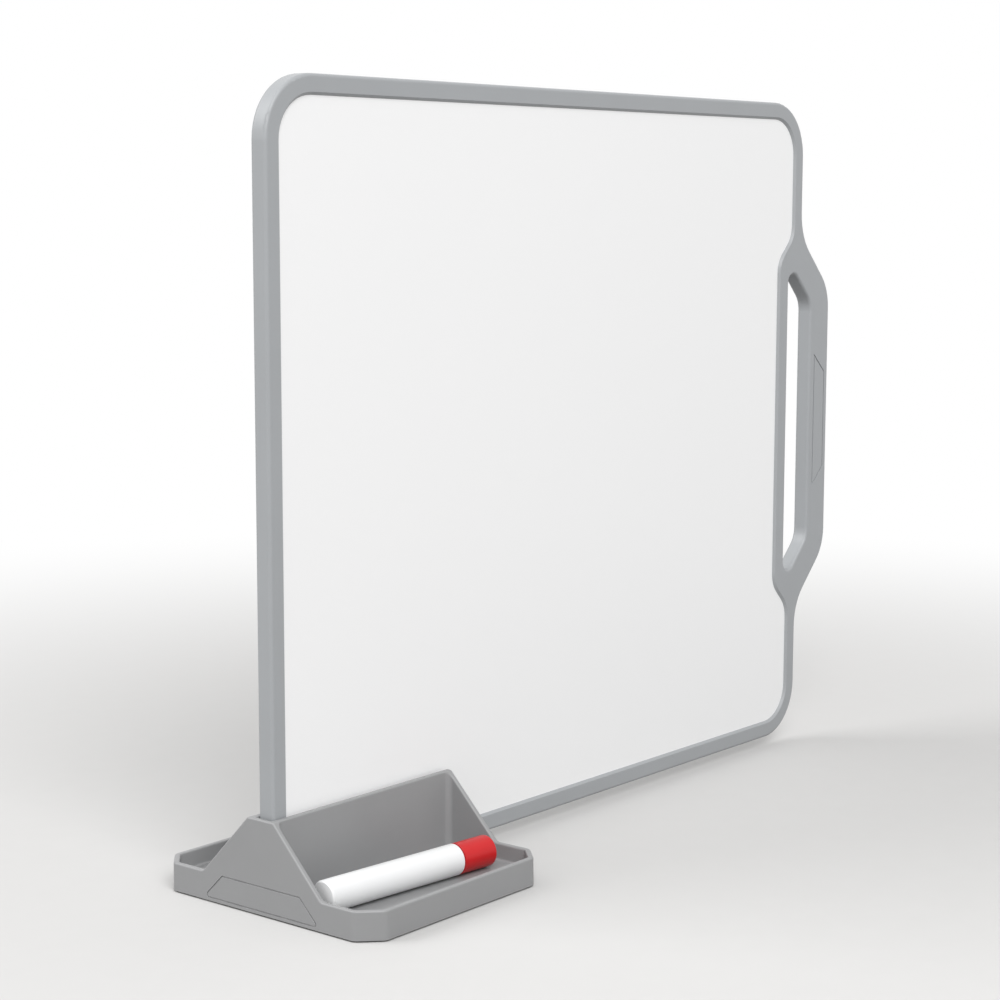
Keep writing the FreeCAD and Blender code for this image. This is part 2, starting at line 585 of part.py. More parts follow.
# Base shell: one moulding with two trays, sloping ends and the slot between
def make_base_shell():
    body = new_body("base_shell", **base_place)
    plan = new_sketch(body, "base_plan", "XY_Plane")
    outline(plan, cut_corners("0", "base_chamfer"))
    block = pad(body, plan, "base_height + overrun")
    lean = body.newObject("PartDesign::Draft", "wall_draft")
    lean.Base = (block, upright_faces(block.Shape))
    lean.NeutralPlane = (plan.AttachmentSupport[0][0], [""])
    lean.setExpression("Angle", linked("base_draft"))
    finish(body, lean)
    if not lean.Shape.Volume < block.Shape.Volume:
        raise ValueError("the walls lean outwards")
    fillet(body, upright_edges(body.Tip.Shape), "base_corner")
    slopes = new_sketch(body, "end_slopes", "YZ_Plane")
    far = "(base_width / 2 + overrun)"
    high = "base_height + overrun * 2"
    outline(slopes, [("-" + far, "rim_height"), ("-slope_foot", "rim_height"), ("-crest_half", "base_height"),
                     ("crest_half", "base_height"), ("slope_foot", "rim_height"), (far, "rim_height"),
                     (far, high), ("-" + far, high)],
            [((1, 4), "slope_foot_round"), ((2, 3), "crest_round")])
    pocket(body, slopes, "base_length + overrun", both_ways=True)
    trays = new_sketch(body, "trays", "XY_Plane", "tray_floor")
    for side in ("-", ""):
        outline(trays, tray_outline(side), [((0, 1), "cove_round"), ((2, 3, 4, 5), "tray_round")])
    pocket(body, trays, "base_height", reverse=True)
    floor = value("tray_floor")
    near = value("panel_play")
    fillet(body, edges_where(body.Tip.Shape, lambda p: abs(p.z - floor) < near), "floor_round")
    slot = new_sketch(body, "slot", "XY_Plane", "slot_floor")
    near_end = "tray_wall - base_length / 2"
    far_end = "base_length / 2 + overrun"
    outline(slot, [(near_end, "-%s" % slot_half), (far_end, "-%s" % slot_half),
                   (far_end, slot_half), (near_end, slot_half)])
    pocket(body, slot, "base_height", reverse=True)
    fillet(body, upper_edges(body.Tip.Shape, value("rim_height") - near), "rim_round")
    liners = new_sketch(body, "liner_seats", "XZ_Plane")
    rectangle(liners, "liner_length / 2 + liner_play", "liner_low - liner_play",
              "liner_low + liner_height + liner_play")
    pocket(body, liners, "2 * (%s + liner_thickness - liner_proud)" % slot_half, both_ways=True)
    field = new_sketch(body, "end_field", "YZ_Plane", "-base_length / 2")
    field.AttachmentOffset.Rotation = FreeCAD.Rotation(FreeCAD.Vector(1, 0, 0), 1)
    field.setExpression("AttachmentOffset.Rotation.Angle", linked("base_draft * 1deg"))
    for trim in ("0", "groove_width"):
        foot, top = tapered_sides("end_field_foot", "end_field_top", "end_field_high - end_field_low", trim)
        low = "end_field_low + %s" % trim
        high = "end_field_high - %s" % trim
        outline(field, [("-(%s)" % foot, low), (foot, low), (top, high), ("-(%s)" % top, high)],
                [((0, 1), "end_field_round - %s" % trim)])
    pocket(body, field, "groove_depth", reverse=True)
    cover = new_sketch(body, "cover_seat", "XY_Plane")
    outline(cover, cut_corners("cover_rim", "base_chamfer"))
    pocket(body, cover, "cover_thickness", reverse=True)
    hollow = new_sketch(body, "ballast_seats", "XY_Plane")
    for sign in ("-", ""):
        outline(hollow, ballast_outline(sign, "ballast_play"))
    pocket(body, hollow, "tray_floor - floor_thickness", reverse=True)
    holes = new_sketch(body, "screw_holes", "XY_Plane")
    for x, y in screw_places:
        circle(holes, x, y, "screw_radius + screw_play")
    pocket(body, holes, "screw_length + screw_play", reverse=True)


def upright_faces(shape):
    """Names of the faces that stand on edge."""
    faces = enumerate(shape.Faces, 1)
    return ["Face%d" % number for number, face in faces if abs(face.normalAt(0, 0).z) < 0.5]


def upright_edges(shape):
    """Names of the edges whose ends lie at different heights."""
    names = []
    for number, edge in enumerate(shape.Edges, 1):
        heights = [vertex.Point.z for vertex in edge.Vertexes]
        if max(heights) - min(heights) > edge.Length / 2:
            names.append("Edge%d" % number)
    return names


def upper_edges(shape, low):
    """Names of the edges above a height where an upward face meets a wall."""
    names = []
    for number, edge in enumerate(shape.Edges, 1):
        middle = edge.valueAt((edge.FirstParameter + edge.LastParameter) / 2)
        faces = shape.ancestorsOfType(edge, Part.Face) if middle.z > low else []
        upward = [face.normalAt(*face.Surface.parameter(middle)).z > 0.5 for face in faces]
        if upward.count(True) == 1 and upward.count(False) == 1:
            names.append("Edge%d" % number)
    return names


def ballast_outline(sign, growth):
    """Plan of one ballast plate with its outer corners cut, moved outwards by growth."""
    x = "(base_length / 2 - ballast_margin + %s)" % growth
    inner_x = "(%s - ballast_chamfer)" % x
    near = "%s(ballast_inner - %s)" % (sign, growth)
    far = "%s(base_width / 2 - ballast_margin + %s)" % (sign, growth)
    inner_far = "%s(base_width / 2 - ballast_margin + %s - ballast_chamfer)" % (sign, growth)
    return [("-" + x, near), (x, near), (x, inner_far), (inner_x, far),
            ("-" + inner_x, far), ("-" + x, inner_far)]


# Soft strips in the slot
def make_slot_strips():
    for label, sign in (("slot_liner_front", "-"), ("slot_liner_rear", "")):
        body = new_body(label, **base_place)
        face = "%s(%s - liner_proud)" % ("" if sign == "-" else "-", slot_half)
        strip = new_sketch(body, label + "_face", "XZ_Plane", face)
        rectangle(strip, "liner_length / 2", "liner_low", "liner_low + liner_height")
        pad(body, strip, "liner_thickness", reverse=(sign == ""))
    body = new_body("slot_rest_pad", **base_place)
    strip = new_sketch(body, "rest_strip", "XY_Plane", "slot_floor")
    rectangle(strip, "pad_length / 2", "-pad_width / 2", "pad_width / 2")
    pad(body, strip, "pad_thickness")


# Steel plates that hold the base down
def make_ballast():
    for label, sign in (("ballast_front", "-"), ("ballast_rear", "")):
        body = new_body(label, **base_place)
        plate = new_sketch(body, label + "_plan", "XY_Plane", "cover_thickness")
        outline(plate, ballast_outline(sign, "0"))
        pad(body, plate, "ballast_thickness")


# Cover that closes the underside, with seats for the feet and the screw heads
foot_places = {"foot_front_left": ("-", "-"), "foot_front_right": ("", "-"),
               "foot_rear_left": ("-", ""), "foot_rear_right": ("", "")}


def foot_place(name):
    side, end = foot_places[name]
    return "%s(base_length / 2 - foot_edge_x)" % side, "%s(base_width / 2 - foot_edge_y)" % end


def make_bottom_cover():
    body = new_body("bottom_cover", **base_place)
    plan = new_sketch(body, "cover_plan", "XY_Plane")
    outline(plan, cut_corners("cover_rim + cover_play", "base_chamfer"))
    pad(body, plan, "cover_thickness")
    seats = new_sketch(body, "foot_seats", "XY_Plane")
    for name in foot_places:
        circle(seats, *foot_place(name), "foot_radius + foot_play")
    pocket(body, seats, "foot_thickness - foot_proud", reverse=True)
    holes = new_sketch(body, "cover_holes", "XY_Plane")
    for x, y in screw_places:
        circle(holes, x, y, "screw_radius + screw_play")
    pocket(body, holes, "cover_thickness + overrun", reverse=True)
    shank = value("screw_radius") + value("screw_play")
    mouths = [name for name in edges_where(body.Tip.Shape, lambda p: abs(p.z) < shank / 10)
              if is_round(body.Tip.Shape, name, shank)]
    chamfer(body, mouths, screw_sink)


def is_round(shape, name, radius):
    curve = shape.getElement(name).Curve
    return curve.TypeId == "Part::GeomCircle" and abs(curve.Radius - radius) < radius / 100


def make_feet():
    for name in foot_places:
        body = new_body(name, **base_place)
        disc = new_sketch(body, name + "_disc", "XY_Plane", "-foot_proud")
        circle(disc, *foot_place(name), "foot_radius")
        pad(body, disc, "foot_thickness")
        low = -value("foot_proud")
        near = value("foot_round") / 10
        fillet(body, edges_where(body.Tip.Shape, lambda p: abs(p.z - low) < near), "foot_round")


# Six identical countersunk screws, each with a six-sided drive recess
def solid_piece(kind, name, place, bottom, lengths):
    """A primitive solid whose sizes and place follow the sheet."""
    item = doc.addObject(kind, name)
    for field, text in lengths.items():
        item.setExpression(field, linked(text))
    for axis, text in zip("xyz", (place[0], place[1], bottom)):
        item.setExpression("Placement.Base." + axis, linked(text))
    return item


def make_screw(number, place):
    name = "screw_%d" % number
    head = solid_piece("Part::Cone", name + "_head", place, "0",
                       {"Radius1": "screw_head_radius", "Radius2": "screw_radius", "Height": screw_sink})
    shank = solid_piece("Part::Cylinder", name + "_shank", place, screw_sink,
                        {"Radius": "screw_radius", "Height": "screw_length - " + screw_sink})
    blank = doc.addObject("Part::Fuse", name + "_blank")
    blank.Base = head
    blank.Tool = shank
    drive = solid_piece("Part::Prism", name + "_drive", place, "-overrun",
                        {"Circumradius": "screw_recess_radius", "Height": "screw_recess_depth + overrun"})
    drive.Polygon = 6
    screw = doc.addObject("Part::Cut", name)
    screw.Base = blank
    screw.Tool = drive
    return screw


def make_screws():
    group = doc.addObject("Part::Compound", "cover_screws")
    group.Label = "cover_screws"
    group.Links = [make_screw(number, place) for number, place in enumerate(screw_places, 1)]
    group.setExpression("Placement.Base.x", linked(base_place["x"]))
    group.setExpression("Placement.Base.z", linked(base_place["z"]))
    doc.recompute()


# Marker: every piece is turned about the marker's own X axis and then laid in the tray
mouth_x = "(marker_length / 2 - cap_length - cap_gap)"
plug_x = "(plug_bevel - marker_length / 2)"


def turned_piece(label, profile):
    x = "%s + marker_shift_x" % base_place["x"]
    y = "marker_shift_y - (base_width / 2 - tray_wall + crest_half) / 2"
    z = "foot_proud + tray_floor + marker_air + marker_radius"
    body = new_body(label, x=x, y=y, z=z)
    body.Placement.Rotation = FreeCAD.Rotation(FreeCAD.Vector(0, 0, 1), 0)
    body.setExpression("Placement.Rotation.Angle", linked("-marker_turn * 1deg"))
    sketch = new_sketch(body, label + "_profile", "XY_Plane")
    outline(sketch, profile)
    revolve(body, sketch)
    return body


def make_marker():
    barrel = turned_piece("marker_barrel", [(plug_x, "barrel_bore"), (mouth_x, "barrel_bore"),
                                            (mouth_x, "marker_radius"), (plug_x, "marker_radius")])
    outside = value("marker_radius") - value("barrel_round")
    rims = edges_where(barrel.Tip.Shape, lambda p: math.hypot(p.y, p.z) > outside and p.x > 0)
    fillet(barrel, rims, "barrel_round")
    turned_piece("marker_end_plug", [("-marker_length / 2", "0"), ("%s + plug_depth" % plug_x, "0"),
                                     ("%s + plug_depth" % plug_x, "barrel_bore - marker_fit"),
                                     (plug_x, "barrel_bore - marker_fit"), (plug_x, "marker_radius"),
                                     ("-marker_length / 2", "plug_face")])
    collar_end = "(%s + collar_length)" % mouth_x
    snout_end = "(%s + snout_length)" % collar_end
    inner = "nib_radius + marker_fit"
    collar = "cap_radius - cap_wall - cap_fit"
    turned_piece("nib_holder", [("%s - collar_depth" % mouth_x, inner), (snout_end, inner),
                                (snout_end, "snout_radius"), (collar_end, "snout_radius"),
                                (collar_end, collar), (mouth_x, collar),
                                (mouth_x, "barrel_bore - marker_fit"),
                                ("%s - collar_depth" % mouth_x, "barrel_bore - marker_fit")])
    nib_start = "%s - nib_depth" % mouth_x
    nib_end = "%s + nib_length" % snout_end
    turned_piece("marker_nib", [(nib_start, "0"), (nib_end, "0"), (nib_end, "nib_tip"),
                                ("%s - nib_taper" % nib_end, "nib_radius"), (nib_start, "nib_radius")])
    store_start = "%s + plug_depth + reservoir_gap" % plug_x
    store_end = "%s - collar_depth - reservoir_gap" % mouth_x
    turned_piece("ink_reservoir", [(store_start, "0"), (store_end, "0"), (store_end, "reservoir_radius"),
                                   (store_start, "reservoir_radius")])
    cap_mouth = "%s + cap_gap" % mouth_x
    cap = turned_piece("marker_cap", [(cap_mouth, "cap_radius - cap_wall"),
                                      ("marker_length / 2 - cap_wall", "cap_radius - cap_wall"),
                                      ("marker_length / 2 - cap_wall", "0"), ("marker_length / 2", "0"),
                                      ("marker_length / 2", "cap_radius"), (cap_mouth, "cap_radius")])
    flat_end = value("marker_length") / 2
    thick = value("cap_wall")
    crown = edges_where(cap.Tip.Shape, lambda p: abs(p.x - flat_end) < thick / 10)
    cap_radius = value("marker_radius") - value("cap_step")
    fillet(cap, [name for name in crown if is_round(cap.Tip.Shape, name, cap_radius)], "cap_round")
    seal_start = "%s - seal_lap" % snout_end
    turned_piece("cap_seal", [(seal_start, "snout_radius + seal_play"),
                              ("marker_length / 2 - cap_wall", "snout_radius + seal_play"),
                              ("marker_length / 2 - cap_wall", "snout_radius + seal_play + seal_wall"),
                              (seal_start, "snout_radius + seal_play + seal_wall")])


def write_parts(names):
    """Check every object, then write each piece under its own name."""
    doc.recompute()
    failed = [item.Name for item in doc.Objects if "Invalid" in item.State or "Error" in item.State]
    if failed:
        raise RuntimeError("failed objects: " + ", ".join(failed))
    os.makedirs("parts", exist_ok=True)
    pieces = [item for item in doc.Objects if item.Label in names]
    for item in pieces:
        if item.Shape.isNull() or not item.Shape.isValid():
            raise RuntimeError("bad shape: " + item.Label)
    for item in pieces:
        item.Shape.exportStep(os.path.join("parts", item.Label + ".step"))
        print("%-22s %10.1f mm3, %d solid(s)" % (item.Label, item.Shape.Volume, len(item.Shape.Solids)))


make_front_frame()
make_rear_frame()
make_panel()
make_base_shell()
make_slot_strips()
make_ballast()
make_bottom_cover()
make_feet()
make_screws()
make_marker()
bodies = [item.Label for item in doc.Objects if item.TypeId == "PartDesign::Body"]
write_parts(bodies + ["cover_screws"])
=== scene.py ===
import math
import bpy
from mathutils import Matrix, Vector


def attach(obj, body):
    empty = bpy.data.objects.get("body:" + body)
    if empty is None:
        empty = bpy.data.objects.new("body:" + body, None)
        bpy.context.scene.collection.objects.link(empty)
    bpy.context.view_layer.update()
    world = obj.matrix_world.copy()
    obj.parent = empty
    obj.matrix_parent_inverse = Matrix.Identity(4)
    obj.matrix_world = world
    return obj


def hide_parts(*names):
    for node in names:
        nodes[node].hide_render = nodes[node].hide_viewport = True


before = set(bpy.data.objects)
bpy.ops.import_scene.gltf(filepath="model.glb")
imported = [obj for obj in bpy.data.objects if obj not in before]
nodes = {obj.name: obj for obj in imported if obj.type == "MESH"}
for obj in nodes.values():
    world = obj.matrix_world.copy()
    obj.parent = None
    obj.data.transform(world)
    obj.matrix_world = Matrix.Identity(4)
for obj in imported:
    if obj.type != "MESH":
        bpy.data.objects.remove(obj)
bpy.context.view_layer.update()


# Base shell. One injection moulding in mid grey plastic: two marker trays, the slot between them and
# sloping end walls. The mould was spark-eroded, so every face has a fine even grain, and the faces
# that look up hold a little pale dust. Its edges are lightened, partly as rubbed wear and partly as a
# painted highlight on the rims.
base_grey_dark = (0.274, 0.276, 0.280)
base_grey_light = (0.310, 0.312, 0.317)
dust_pale = (0.62, 0.61, 0.59)
# The pale grey that edges are lightened to: partly rubbed wear, partly a painted highlight.
rubbed_and_lit_pale = (0.6, 0.6, 0.6)
mix_under, mix_top, mix_result = 6, 7, 2  # the Mix node's colour sockets


def feed(tree, item, links):
    """Link a node's inputs, or set them, by name or number."""
    for key, source in links.items():
        if isinstance(source, bpy.types.NodeSocket):
            tree.links.new(source, item.inputs[key])
        else:
            item.inputs[key].default_value = source


def node(tree, kind, links=None, **settings):
    """A shader node with its settings made and its inputs fed."""
    item = tree.nodes.new("ShaderNode" + kind)
    for key, setting in settings.items():
        setattr(item, key, setting)
    feed(tree, item, links or {})
    return item


def noise(tree, place, scale, detail, roughness=0.5):
    """A noise pattern from 0 to 1."""
    pattern = node(tree, "TexNoise", {"Vector": place, "Scale": scale, "Detail": detail,
                                      "Roughness": roughness})
    return pattern.outputs["Fac"]


def spread(tree, number, low=0.0, high=1.0, start=0.0, end=1.0):
    """A number that goes from low to high while another goes from start to end."""
    item = node(tree, "MapRange", {"Value": number, "From Min": start, "From Max": end,
                                   "To Min": low, "To Max": high})
    return item.outputs["Result"]


def combine(tree, operation, one, other):
    """One number worked out from two others."""
    return node(tree, "Math", {0: one, 1: other}, operation=operation).outputs["Value"]


def tint(tree, share, low, high):
    """A colour between low and high, by share."""
    tones = {"Factor": share, mix_under: (*low, 1.0), mix_top: (*high, 1.0)}
    return node(tree, "Mix", tones, data_type="RGBA").outputs[mix_result]


def over(tree, share, under, top):
    """A colour laid over another, by share."""
    tones = {"Factor": share, mix_under: under, mix_top: (*top, 1.0)}
    return node(tree, "Mix", tones, data_type="RGBA").outputs[mix_result]


def new_group(name, numbers, results):
    """A node group that takes a place and some numbers, and gives back numbers."""
    group = bpy.data.node_groups.new(name, "ShaderNodeTree")
    group.interface.new_socket(name="Vector", in_out="INPUT", socket_type="NodeSocketVector")
    for label, start in numbers.items():
        socket = group.interface.new_socket(name=label, in_out="INPUT", socket_type="NodeSocketFloat")
        socket.default_value = start
    for label in results:
        group.interface.new_socket(name=label, in_out="OUTPUT", socket_type="NodeSocketFloat")
    return group, group.nodes.new("NodeGroupInput").outputs, group.nodes.new("NodeGroupOutput").inputs


def use_group(tree, group, links):
    """The outputs of a node group that is placed in a material."""
    return node(tree, "Group", links, node_tree=group).outputs


def make_moulded_grain():
    """Spark-eroded mould texture: fine pits for the bump and slow clouds for the finish."""
    group, enter, leave = new_group("moulded_grain", {"Pit Scale": 2600.0, "Cloud Scale": 24.0},
                                    ("Height", "Cloud"))
    pits = noise(group, enter["Vector"], scale=enter["Pit Scale"], detail=3.0, roughness=0.6)
    clouds = noise(group, enter["Vector"], scale=enter["Cloud Scale"], detail=4.0, roughness=0.55)
    group.links.new(pits, leave["Height"])
    group.links.new(clouds, leave["Cloud"])
    return group


def make_settled_dust():
    """Pale dust that gathers on faces that look up, broken up by noise."""
    group, enter, leave = new_group("settled_dust", {"Amount": 0.3}, ("Mask",))
    facing = node(group, "SeparateXYZ", {"Vector": node(group, "NewGeometry").outputs["Normal"]})
    upward = spread(group, facing.outputs["Z"], start=0.7)
    specks = noise(group, enter["Vector"], scale=90.0, detail=6.0, roughness=0.7)
    patches = spread(group, specks, start=0.42, end=0.75)
    lying = combine(group, "MULTIPLY", upward, patches)
    group.links.new(combine(group, "MULTIPLY", lying, enter["Amount"]), leave["Mask"])
    return group


def make_rubbed_and_lit_edges():
    """Sharp edges, found where the rounded normal turns from the face's own: rubbed by handling, and made
    lighter as a painted highlight.
    """
    group, enter, leave = new_group("rubbed_and_lit_edges", {"Reach": 0.0009}, ("Mask",))
    rounded = node(group, "Bevel", {"Radius": enter["Reach"]}, samples=4)
    plain = node(group, "NewGeometry")
    turn = node(group, "VectorMath", {0: rounded.outputs["Normal"], 1: plain.outputs["Normal"]},
                operation="DOT_PRODUCT")
    edge = spread(group, turn.outputs["Value"], start=0.995, end=0.86)
    breakup = noise(group, enter["Vector"], scale=160.0, detail=3.0)
    patches = spread(group, breakup, start=0.35, end=0.7)
    group.links.new(combine(group, "MULTIPLY", edge, patches), leave["Mask"])
    return group


moulded_grain = make_moulded_grain()
settled_dust = make_settled_dust()
rubbed_and_lit_edges = make_rubbed_and_lit_edges()


def new_finish(name, **constants):
    """A material with one Principled shader, its constants set on the shader's own sockets."""
    finish = bpy.data.materials.new(name)
    finish.use_nodes = True
    tree = finish.node_tree
    shader = tree.nodes["Principled BSDF"]
    for key, setting in constants.items():
        shader.inputs[key.replace("_", " ")].default_value = setting
    place = node(tree, "TexCoord").outputs["Object"]
    return finish, tree, shader, place


def lay_on(tree, shader, colour, roughness, height, strength, depth):
    """Give a shader its colour, its roughness and a bump."""
    bump = node(tree, "Bump", {"Height": height, "Strength": strength, "Distance": depth})
    feed(tree, shader, {"Base Color": colour, "Roughness": roughness, "Normal": bump.outputs["Normal"]})


def moulded_plastic(name, dark, light, roughness, pit_scale=2600.0, pit_depth=0.00003, dust=0.1,
                    wear_and_highlight=0.25):
    """Grained plastic: clouded colour, dust on top faces, edges lightened as rubbed wear and painted
    highlight, and a fine pitted bump.
    """
    finish, tree, shader, place = new_finish(name)
    grain = use_group(tree, moulded_grain, {"Vector": place, "Pit Scale": pit_scale})
    dusty = use_group(tree, settled_dust, {"Vector": place, "Amount": dust})["Mask"]
    edge = use_group(tree, rubbed_and_lit_edges, {"Vector": place})["Mask"]
    colour = tint(tree, grain["Cloud"], dark, light)
    # Edges are lightened towards pale grey: partly rubbed wear, partly a painted highlight on the rounded
    # rims.
    colour = over(tree, combine(tree, "MULTIPLY", edge, wear_and_highlight), colour, rubbed_and_lit_pale)
    colour = over(tree, dusty, colour, dust_pale)
    lay_on(tree, shader, colour, spread(tree, grain["Cloud"], *roughness), grain["Height"], strength=0.5,
           depth=pit_depth)
    return finish


def dress(finish, *names):
    """Give CAD nodes their finish."""
    for name in names:
        for place in nodes[name].material_slots:
            place.material = finish


# The base keeps the full edge lightening, partly rubbed wear and partly a painted highlight on its rims.
base_finish = moulded_plastic("base_moulding", base_grey_dark, base_grey_light, roughness=(0.38, 0.47))
dress(base_finish, "base_shell")


# Slot strips. Two thin liners let into the slot walls grip the board, and a strip on the slot floor
# carries its weight. All three are extruded soft rubber, cut to length, with fine lines along them.
rubber_dark = (0.045, 0.046, 0.048)
rubber_light = (0.085, 0.086, 0.088)


def stretched(tree, place, scale, turn=(0.0, 0.0, 0.0)):
    """A pattern's place, stretched and turned."""
    return node(tree, "Mapping", {"Vector": place, "Rotation": turn, "Scale": scale}).outputs["Vector"]


def make_soft_rubber():
    finish, tree, shader, place = new_finish("soft_rubber", Specular_IOR_Level=0.35)
    lines = stretched(tree, place, (3.0, 900.0, 900.0))
    streaks = noise(tree, lines, scale=2.0, detail=2.0)
    cloud = use_group(tree, moulded_grain, {"Vector": place})["Cloud"]
    colour = tint(tree, cloud, rubber_dark, rubber_light)
    roughness = spread(tree, streaks, low=0.72, high=0.9)
    lay_on(tree, shader, colour, roughness, streaks, strength=0.4, depth=0.00006)
    return finish


dress(make_soft_rubber(), "slot_liner_front", "slot_liner_rear", "slot_rest_pad")


# Ballast plates. Sheared rolled steel under each tray floor keeps the base from tipping. They are
# closed in, so they only have mill scale and the rolling lines of the sheet.
mill_dark = (0.34, 0.35, 0.37)
mill_light = (0.52, 0.52, 0.53)


def make_rolled_steel():
    finish, tree, shader, place = new_finish("rolled_steel", Metallic=1.0)
    lines = stretched(tree, place, (8.0, 500.0, 8.0))
    rolling = noise(tree, lines, scale=3.0, detail=3.0)
    colour = tint(tree, noise(tree, place, scale=60.0, detail=5.0), mill_dark, mill_light)
    roughness = spread(tree, rolling, low=0.34, high=0.55)
    lay_on(tree, shader, colour, roughness, rolling, strength=0.3, depth=0.00005)
    return finish


dress(make_rolled_steel(), "ballast_front", "ballast_rear")


# Bottom cover. A darker grained plate closes the underside. The low lattice of ribs on its outer face
# is moulded with it, keeps the thin plate flat and stays clear of the desk.
cover_grey_dark = (0.205, 0.206, 0.210)
cover_grey_light = (0.240, 0.241, 0.245)
cover_corners = [corner.co for corner in nodes["bottom_cover"].data.vertices]
cover_ends = [place.x for place in cover_corners]
base_middle = (min(cover_ends) + max(cover_ends)) / 2
cover_face = min(place.z for place in cover_corners)
lattice_length = 0.108
lattice_width = 0.084
lattice_corner = 0.010
rib_height = 0.0004
rib_width = 0.0010
rib_sunk = 0.0001
rib_round = 0.00015
corner_reach = 0.001
sharp_angle = 40.0
nearly_one = 0.98


def leave_edit():
    """Go back to object mode, where pieces are added, cut and shaded."""
    if bpy.context.mode != "OBJECT":
        bpy.ops.object.mode_set(mode="OBJECT")


def add_piece(name, add, scale=(1.0, 1.0, 1.0), **shape):
    """Add one primitive at its size and place, with nothing else selected."""
    leave_edit()
    bpy.ops.object.select_all(action="DESELECT")
    add(**shape)
    piece = bpy.context.object
    piece.name = name
    piece.scale = scale
    bpy.ops.object.transform_apply(location=True, rotation=True, scale=True)
    return piece


def pick(piece, test, kind="FACE"):
    """Enter edit mode with only the faces or corners selected whose place and normal pass the test."""
    leave_edit()
    mesh = piece.data
    for item in (*mesh.vertices, *mesh.edges, *mesh.polygons):
        item.select = False
    if kind == "FACE":
        for face in mesh.polygons:
            face.select = test(face.center, face.normal)
    else:
        for corner in mesh.vertices:
            corner.select = test(corner.co, corner.normal)
    bpy.context.tool_settings.mesh_select_mode = (kind == "VERT", False, kind == "FACE")
    bpy.ops.object.mode_set(mode="EDIT")


def faces_up(place, normal):
    return normal.z > nearly_one


def faces_down(place, normal):
    return normal.z < -nearly_one


def push_up(height):
    """Pull the selected faces straight up out of the mesh, or down."""
    bpy.ops.mesh.extrude_region_move(TRANSFORM_OT_translate={"value": (0.0, 0.0, height)})


def shade(angle):
    """Shade smoothly across edges that turn by less than this angle in degrees."""
    leave_edit()
    bpy.ops.object.shade_smooth_by_angle(angle=math.radians(angle))


def soften(piece, width):
    """Round the sharp edges a little and shade what is left by angle."""
    leave_edit()
    round_off = piece.modifiers.new("soft_edges", "BEVEL")
    round_off.width = width
    round_off.segments = 2
    round_off.limit_method = "ANGLE"
    round_off.angle_limit = math.radians(sharp_angle)
    bpy.ops.object.modifier_apply(modifier=round_off.name)
    shade(sharp_angle)


def at_lattice_corner(place, normal):
    from_end = lattice_length / 2 - abs(place.x - base_middle)
    from_side = lattice_width / 2 - abs(place.y)
    return max(from_end, from_side) < corner_reach


def make_cover_ribs():
    """A grid whose cells are cut out, so that only the ribs between them stay."""
    ribs = add_piece("cover_ribs", bpy.ops.mesh.primitive_grid_add, x_subdivisions=5, y_subdivisions=4,
                     size=1.0, location=(base_middle, 0.0, cover_face + rib_sunk),
                     scale=(lattice_length, lattice_width, 1.0))
    pick(ribs, at_lattice_corner, "VERT")
    bpy.ops.mesh.bevel(affect="VERTICES", offset=lattice_corner, segments=1)
    pick(ribs, lambda place, normal: True)
    bpy.ops.mesh.inset(thickness=rib_width / 2, use_individual=True)
    bpy.ops.mesh.delete(type="FACE")
    pick(ribs, lambda place, normal: True)
    push_up(-(rib_height + rib_sunk))
    bpy.ops.mesh.select_all(action="SELECT")
    bpy.ops.mesh.normals_make_consistent(inside=False)
    soften(ribs, rib_round)
    return ribs


cover_finish = moulded_plastic("cover_moulding", cover_grey_dark, cover_grey_light,
                               roughness=(0.5, 0.62), pit_scale=2000.0, pit_depth=0.00004, dust=0.0,
                               wear_and_highlight=0.15)
dress(cover_finish, "bottom_cover")
cover_ribs = make_cover_ribs()
cover_ribs.data.materials.append(cover_finish)
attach(cover_ribs, "base")


# Cover screws. Six zinc plated countersunk screws with a cross recess hold the cover to the shell's
# posts. One is modelled, and each copy is turned differently, as driven screws are.
zinc_dark = (0.50, 0.51, 0.53)
zinc_light = (0.70, 0.70, 0.69)
screw_reach_x = 0.0615
screw_reach_y = 0.0513
side_screw_reach = 0.0677
screw_places = [(base_middle + reach_x, reach_y) for reach_x in (-screw_reach_x, screw_reach_x)
                for reach_y in (-screw_reach_y, screw_reach_y)]
screw_places += [(base_middle, -side_screw_reach), (base_middle, side_screw_reach)]
screw_turns = (12.0, 71.0, 38.0, 55.0, 24.0, 83.0)
head_radius = 0.0022
head_height = 0.0010
head_round = 0.00012
shank_radius = 0.0012
screw_length = 0.0046
tip_length = 0.0006
tip_share = 0.4
recess_reach = 0.0026
recess_width = 0.0006
recess_depth = 0.0011
recess_floor_share = 0.5


def make_zinc_plate():
    finish, tree, shader, place = new_finish("zinc_plate", Metallic=1.0)
    bloom = noise(tree, place, scale=420.0, detail=4.0)
    rings = node(tree, "TexWave", {"Vector": place, "Scale": 300.0, "Distortion": 2.0}).outputs["Fac"]
    colour = tint(tree, bloom, zinc_dark, zinc_light)
    roughness = spread(tree, bloom, low=0.24, high=0.42)
    lay_on(tree, shader, colour, roughness, rings, strength=0.2, depth=0.00003)
    return finish


def narrow(share, height):
    """Draw the selected faces in towards the upright axis, as seen at this height."""
    bpy.ops.transform.resize(value=(share, share, 1.0), center_override=(0.0, 0.0, height))


def cut_away(piece, cutter):
    """Cut a piece with another, which is then thrown away."""
    leave_edit()
    bpy.ops.object.select_all(action="DESELECT")
    piece.select_set(True)
    bpy.context.view_layer.objects.active = piece
    cut = piece.modifiers.new("cut", "BOOLEAN")
    cut.object = cutter
    cut.solver = "EXACT"
    bpy.ops.object.modifier_apply(modifier=cut.name)
    bpy.data.objects.remove(cutter)


